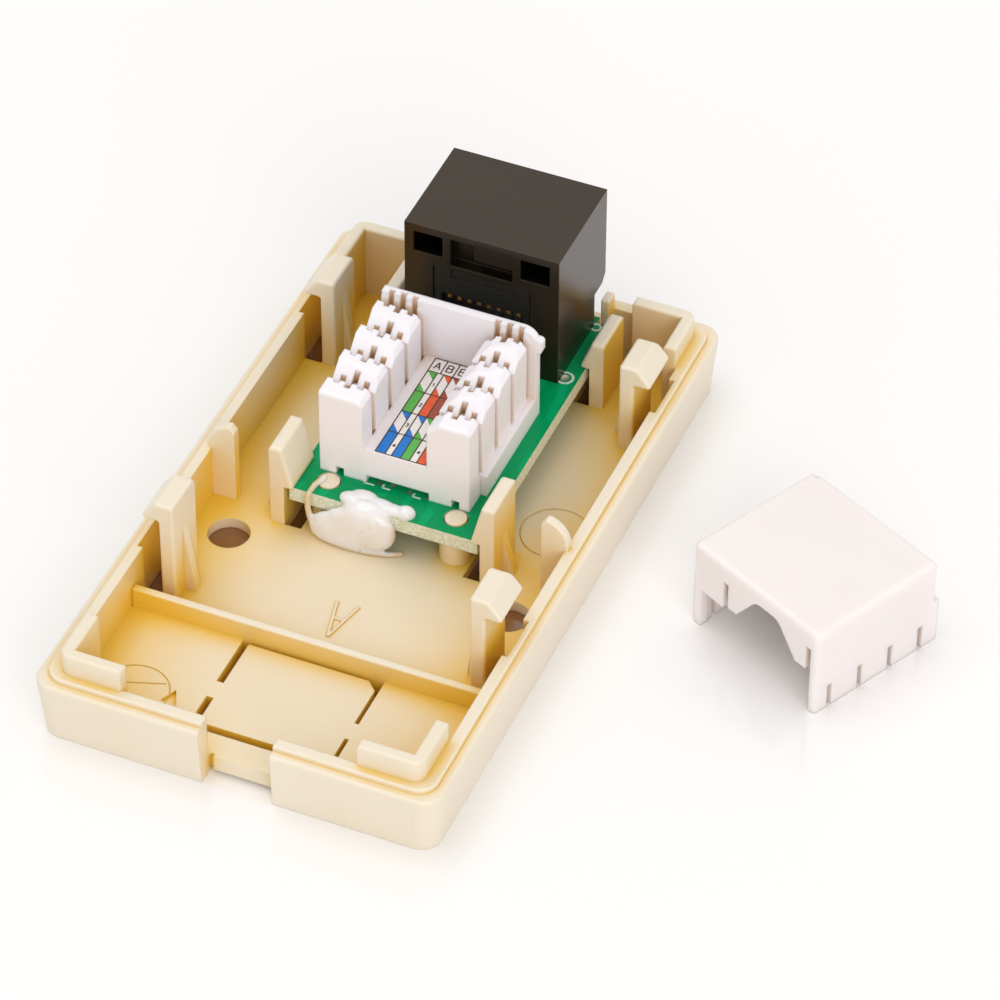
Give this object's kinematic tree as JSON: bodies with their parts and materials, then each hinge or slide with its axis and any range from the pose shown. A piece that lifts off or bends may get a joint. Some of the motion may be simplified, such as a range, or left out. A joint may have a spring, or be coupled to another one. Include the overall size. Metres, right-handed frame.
{
  "type": "surface mount jack box",
  "caption": "Opened surface mount jack box: ivory base tray, circuit board, black modular jack, white punch-down contact block and its loose wire cap.",
  "frame": {"origin": "centre of the base's underside, the face that goes on the wall", "axes": "+X across the base, +Y along it towards the jack, +Z away from the wall"},
  "size_m": [0.0713, 0.07, 0.0209],
  "materials": {
    "ivory_plastic": "smooth ivory moulding, satin gloss",
    "board_green": "green solder mask",
    "black_plastic": "fine textured black moulding",
    "black_insert": "smooth black moulding",
    "white_plastic": "white moulding, soft gloss",
    "cap_plastic": "white moulding, soft gloss",
    "label_paper": "printed paper label",
    "contact_gold": "gold-plated spring wire",
    "tin_plate": "tin-plated sheet",
    "solder": "bright solder",
    "clear_glue": "translucent hot-melt glue"
  },
  "bodies": {
    "root": {"base": "ivory_plastic", "circuit_board": "board_green", "jack_housing": "black_plastic", "jack_insert": "black_insert", "idc_block": "white_plastic", "wiring_label": "label_paper", "jack_solder_joints": "solder", "idc_solder_joints": "solder", "glue_dab": "clear_glue", "wire_cap": "cap_plastic", "contact_wire_1": "contact_gold", "idc_blade_1": "tin_plate", "contact_wire_2": "contact_gold", "idc_blade_2": "tin_plate", "contact_wire_3": "contact_gold", "idc_blade_3": "tin_plate", "contact_wire_4": "contact_gold", "idc_blade_4": "tin_plate", "contact_wire_5": "contact_gold", "idc_blade_5": "tin_plate", "contact_wire_6": "contact_gold", "idc_blade_6": "tin_plate", "contact_wire_7": "contact_gold", "idc_blade_7": "tin_plate", "contact_wire_8": "contact_gold", "idc_blade_8": "tin_plate"}
  },
  "joints": []
}
